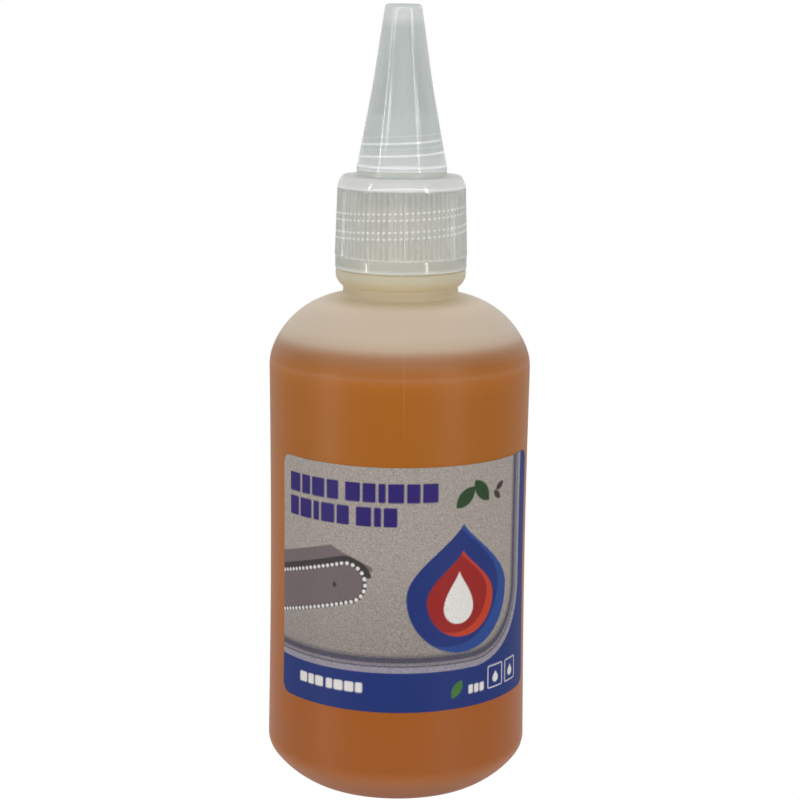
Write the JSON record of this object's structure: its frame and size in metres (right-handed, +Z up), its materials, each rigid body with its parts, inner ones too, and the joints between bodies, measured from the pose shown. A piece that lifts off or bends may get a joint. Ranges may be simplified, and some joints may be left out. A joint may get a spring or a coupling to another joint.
{
  "type": "bar and chain oil bottle",
  "caption": "Slim round squeeze bottle of amber saw-chain oil with a wrap-on front label, a ribbed screw cap and a pointed screw-on nozzle for dripping oil.",
  "frame": {"origin": "centre of the standing ring, on the surface that the bottle stands on", "axes": "+Z up along the bottle's axis to the nozzle's tip; -Y is the front, where the label is"},
  "size_m": [0.0446, 0.0446, 0.1307],
  "materials": {
    "bottle_plastic": "natural milky polyethylene, matte",
    "oil": "clear amber oil",
    "label_paper": "printed satin film label, grey over dark blue",
    "gasket_foam": "soft white foam",
    "cap_plastic": "natural glossy polypropylene",
    "washer_rubber": "dark soft seal",
    "nozzle_plastic": "natural glossy polyethylene"
  },
  "bodies": {
    "bottle_body": {"bottle": "bottle_plastic", "oil": "oil", "label": "label_paper"},
    "gasket_body": {"cap_gasket": "gasket_foam"},
    "cap_body": {"screw_cap": "cap_plastic"},
    "washer_body": {"nozzle_washer": "washer_rubber"},
    "nozzle_body": {"nozzle": "nozzle_plastic"}
  },
  "joints": [
    {"name": "cap_lift", "type": "slide", "parent": "bottle_body", "child": "gasket_body", "axis": [0, 0, 1], "range_m": [0, 0.012]},
    {"name": "cap_turn", "type": "hinge", "parent": "gasket_body", "child": "cap_body", "pos_m": [0, 0, 0.095], "axis": [0, 0, 1], "range_deg": [0, 1450]},
    {"name": "nozzle_lift", "type": "slide", "parent": "cap_body", "child": "washer_body", "axis": [0, 0, 1], "range_m": [0, 0.008]},
    {"name": "nozzle_turn", "type": "hinge", "parent": "washer_body", "child": "nozzle_body", "pos_m": [0, 0, 0.11], "axis": [0, 0, 1], "range_deg": [0, 1450]}
  ],
  "couplings": [
    {"joint": "cap_turn", "follows": "cap_lift", "rad_per_m": 2094.4},
    {"joint": "nozzle_turn", "follows": "nozzle_lift", "rad_per_m": 3141.6}
  ]
}
